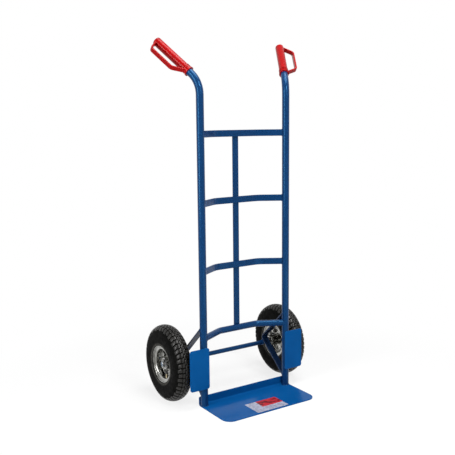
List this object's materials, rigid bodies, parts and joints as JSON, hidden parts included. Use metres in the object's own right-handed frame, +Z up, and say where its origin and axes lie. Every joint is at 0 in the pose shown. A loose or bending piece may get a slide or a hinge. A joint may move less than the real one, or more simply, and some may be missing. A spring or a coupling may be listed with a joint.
{
  "type": "hand truck",
  "caption": "Two-wheeled hand truck with a tubular steel frame, bowed cross bars, a folded toe plate, pneumatic wheels and grips with knuckle guards.",
  "frame": {"origin": "on the floor, on the underside of the toe plate, midway between the two uprights and level with their axes", "axes": "+Z up; -Y to the front, where the toe plate is; +Y to the back, where the wheels and handles are; +X to the right as seen from the front"},
  "size_m": [0.5632, 0.41, 1.2046],
  "materials": {
    "frame_paint": "glossy blue powder coat",
    "grip_red": "smooth moulded red plastic",
    "tyre_rubber": "matt black rubber with block tread",
    "tube_rubber": "smooth black butyl rubber",
    "rim_zinc": "bright zinc-plated pressed steel",
    "bearing_steel": "ground steel",
    "zinc_steel": "zinc-plated steel",
    "valve_brass": "plated brass",
    "cap_black": "black moulded plastic"
  },
  "bodies": {
    "frame": {"toe_plate": "frame_paint", "left_upright_tube": "frame_paint", "right_upright_tube": "frame_paint", "top_cross_bar": "frame_paint", "upper_cross_bar": "frame_paint", "middle_cross_bar": "frame_paint", "lower_cross_tube": "frame_paint", "centre_strap": "frame_paint", "left_wheel_guard": "frame_paint", "right_wheel_guard": "frame_paint", "left_axle_bracket": "frame_paint", "right_axle_bracket": "frame_paint", "axle": "frame_paint", "left_axle_spacer": "zinc_steel", "right_axle_spacer": "zinc_steel", "axle_washers": "zinc_steel", "split_pins": "zinc_steel", "left_grip": "grip_red", "right_grip": "grip_red"},
    "left_wheel": {"left_tyre": "tyre_rubber", "left_inner_tube": "tube_rubber", "left_rim_outer_half": "rim_zinc", "left_rim_inner_half": "rim_zinc", "left_outer_bearing": "bearing_steel", "left_inner_bearing": "bearing_steel", "left_bearing_spacer": "zinc_steel", "left_rim_bolts": "zinc_steel", "left_rim_nuts": "zinc_steel", "left_valve_stem": "valve_brass", "left_valve_cap": "cap_black"},
    "right_wheel": {"right_tyre": "tyre_rubber", "right_inner_tube": "tube_rubber", "right_rim_outer_half": "rim_zinc", "right_rim_inner_half": "rim_zinc", "right_outer_bearing": "bearing_steel", "right_inner_bearing": "bearing_steel", "right_bearing_spacer": "zinc_steel", "right_rim_bolts": "zinc_steel", "right_rim_nuts": "zinc_steel", "right_valve_stem": "valve_brass", "right_valve_cap": "cap_black"}
  },
  "joints": [
    {"name": "left_wheel_spin", "type": "hinge", "parent": "frame", "child": "left_wheel", "pos_m": [-0.2353, 0.123, 0.13], "axis": [1, 0, 0], "continuous": true},
    {"name": "right_wheel_spin", "type": "hinge", "parent": "frame", "child": "right_wheel", "pos_m": [0.2353, 0.123, 0.13], "axis": [1, 0, 0], "continuous": true}
  ]
}
